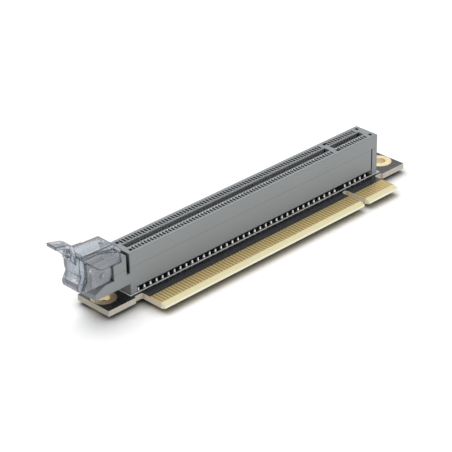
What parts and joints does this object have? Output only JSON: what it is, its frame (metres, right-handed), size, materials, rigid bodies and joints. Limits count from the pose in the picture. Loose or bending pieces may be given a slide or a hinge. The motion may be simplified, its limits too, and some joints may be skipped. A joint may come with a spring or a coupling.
{
  "type": "pcie riser card",
  "caption": "Low straight riser board with a long card slot on one face, a gold edge connector along one side, plated mounting holes and a hinged clear card latch.",
  "frame": {"origin": "midway between the two mounting holes, on the underside of the board", "axes": "+X along the slot from the latch end to the plain end, +Z out of the slot's mouth, the gold edge points to -Y"},
  "size_m": [0.1183, 0.0189, 0.0231],
  "materials": {
    "board": "black solder mask on glass-epoxy laminate",
    "gold": "hard gold plating",
    "plating": "gold-plated copper",
    "housing": "fine moulded texture",
    "contacts": "bright tin and gold flash on spring bronze",
    "clear_plastic": "clear polycarbonate"
  },
  "bodies": {
    "card": {"circuit_board": "board", "edge_contacts_top": "gold", "edge_contacts_bottom": "gold", "plated_hole_left": "plating", "plated_hole_right": "plating", "slot_housing": "housing", "slot_contacts_front_outer": "contacts", "slot_contacts_front_inner": "contacts", "slot_contacts_rear_outer": "contacts", "slot_contacts_rear_inner": "contacts"},
    "latch": {"retention_latch": "clear_plastic"}
  },
  "joints": [
    {"name": "latch_pivot", "type": "hinge", "parent": "card", "child": "latch", "pos_m": [-0.0527, 0, 0.00987], "axis": [0, -1, 0], "range_deg": [0, 18]}
  ]
}
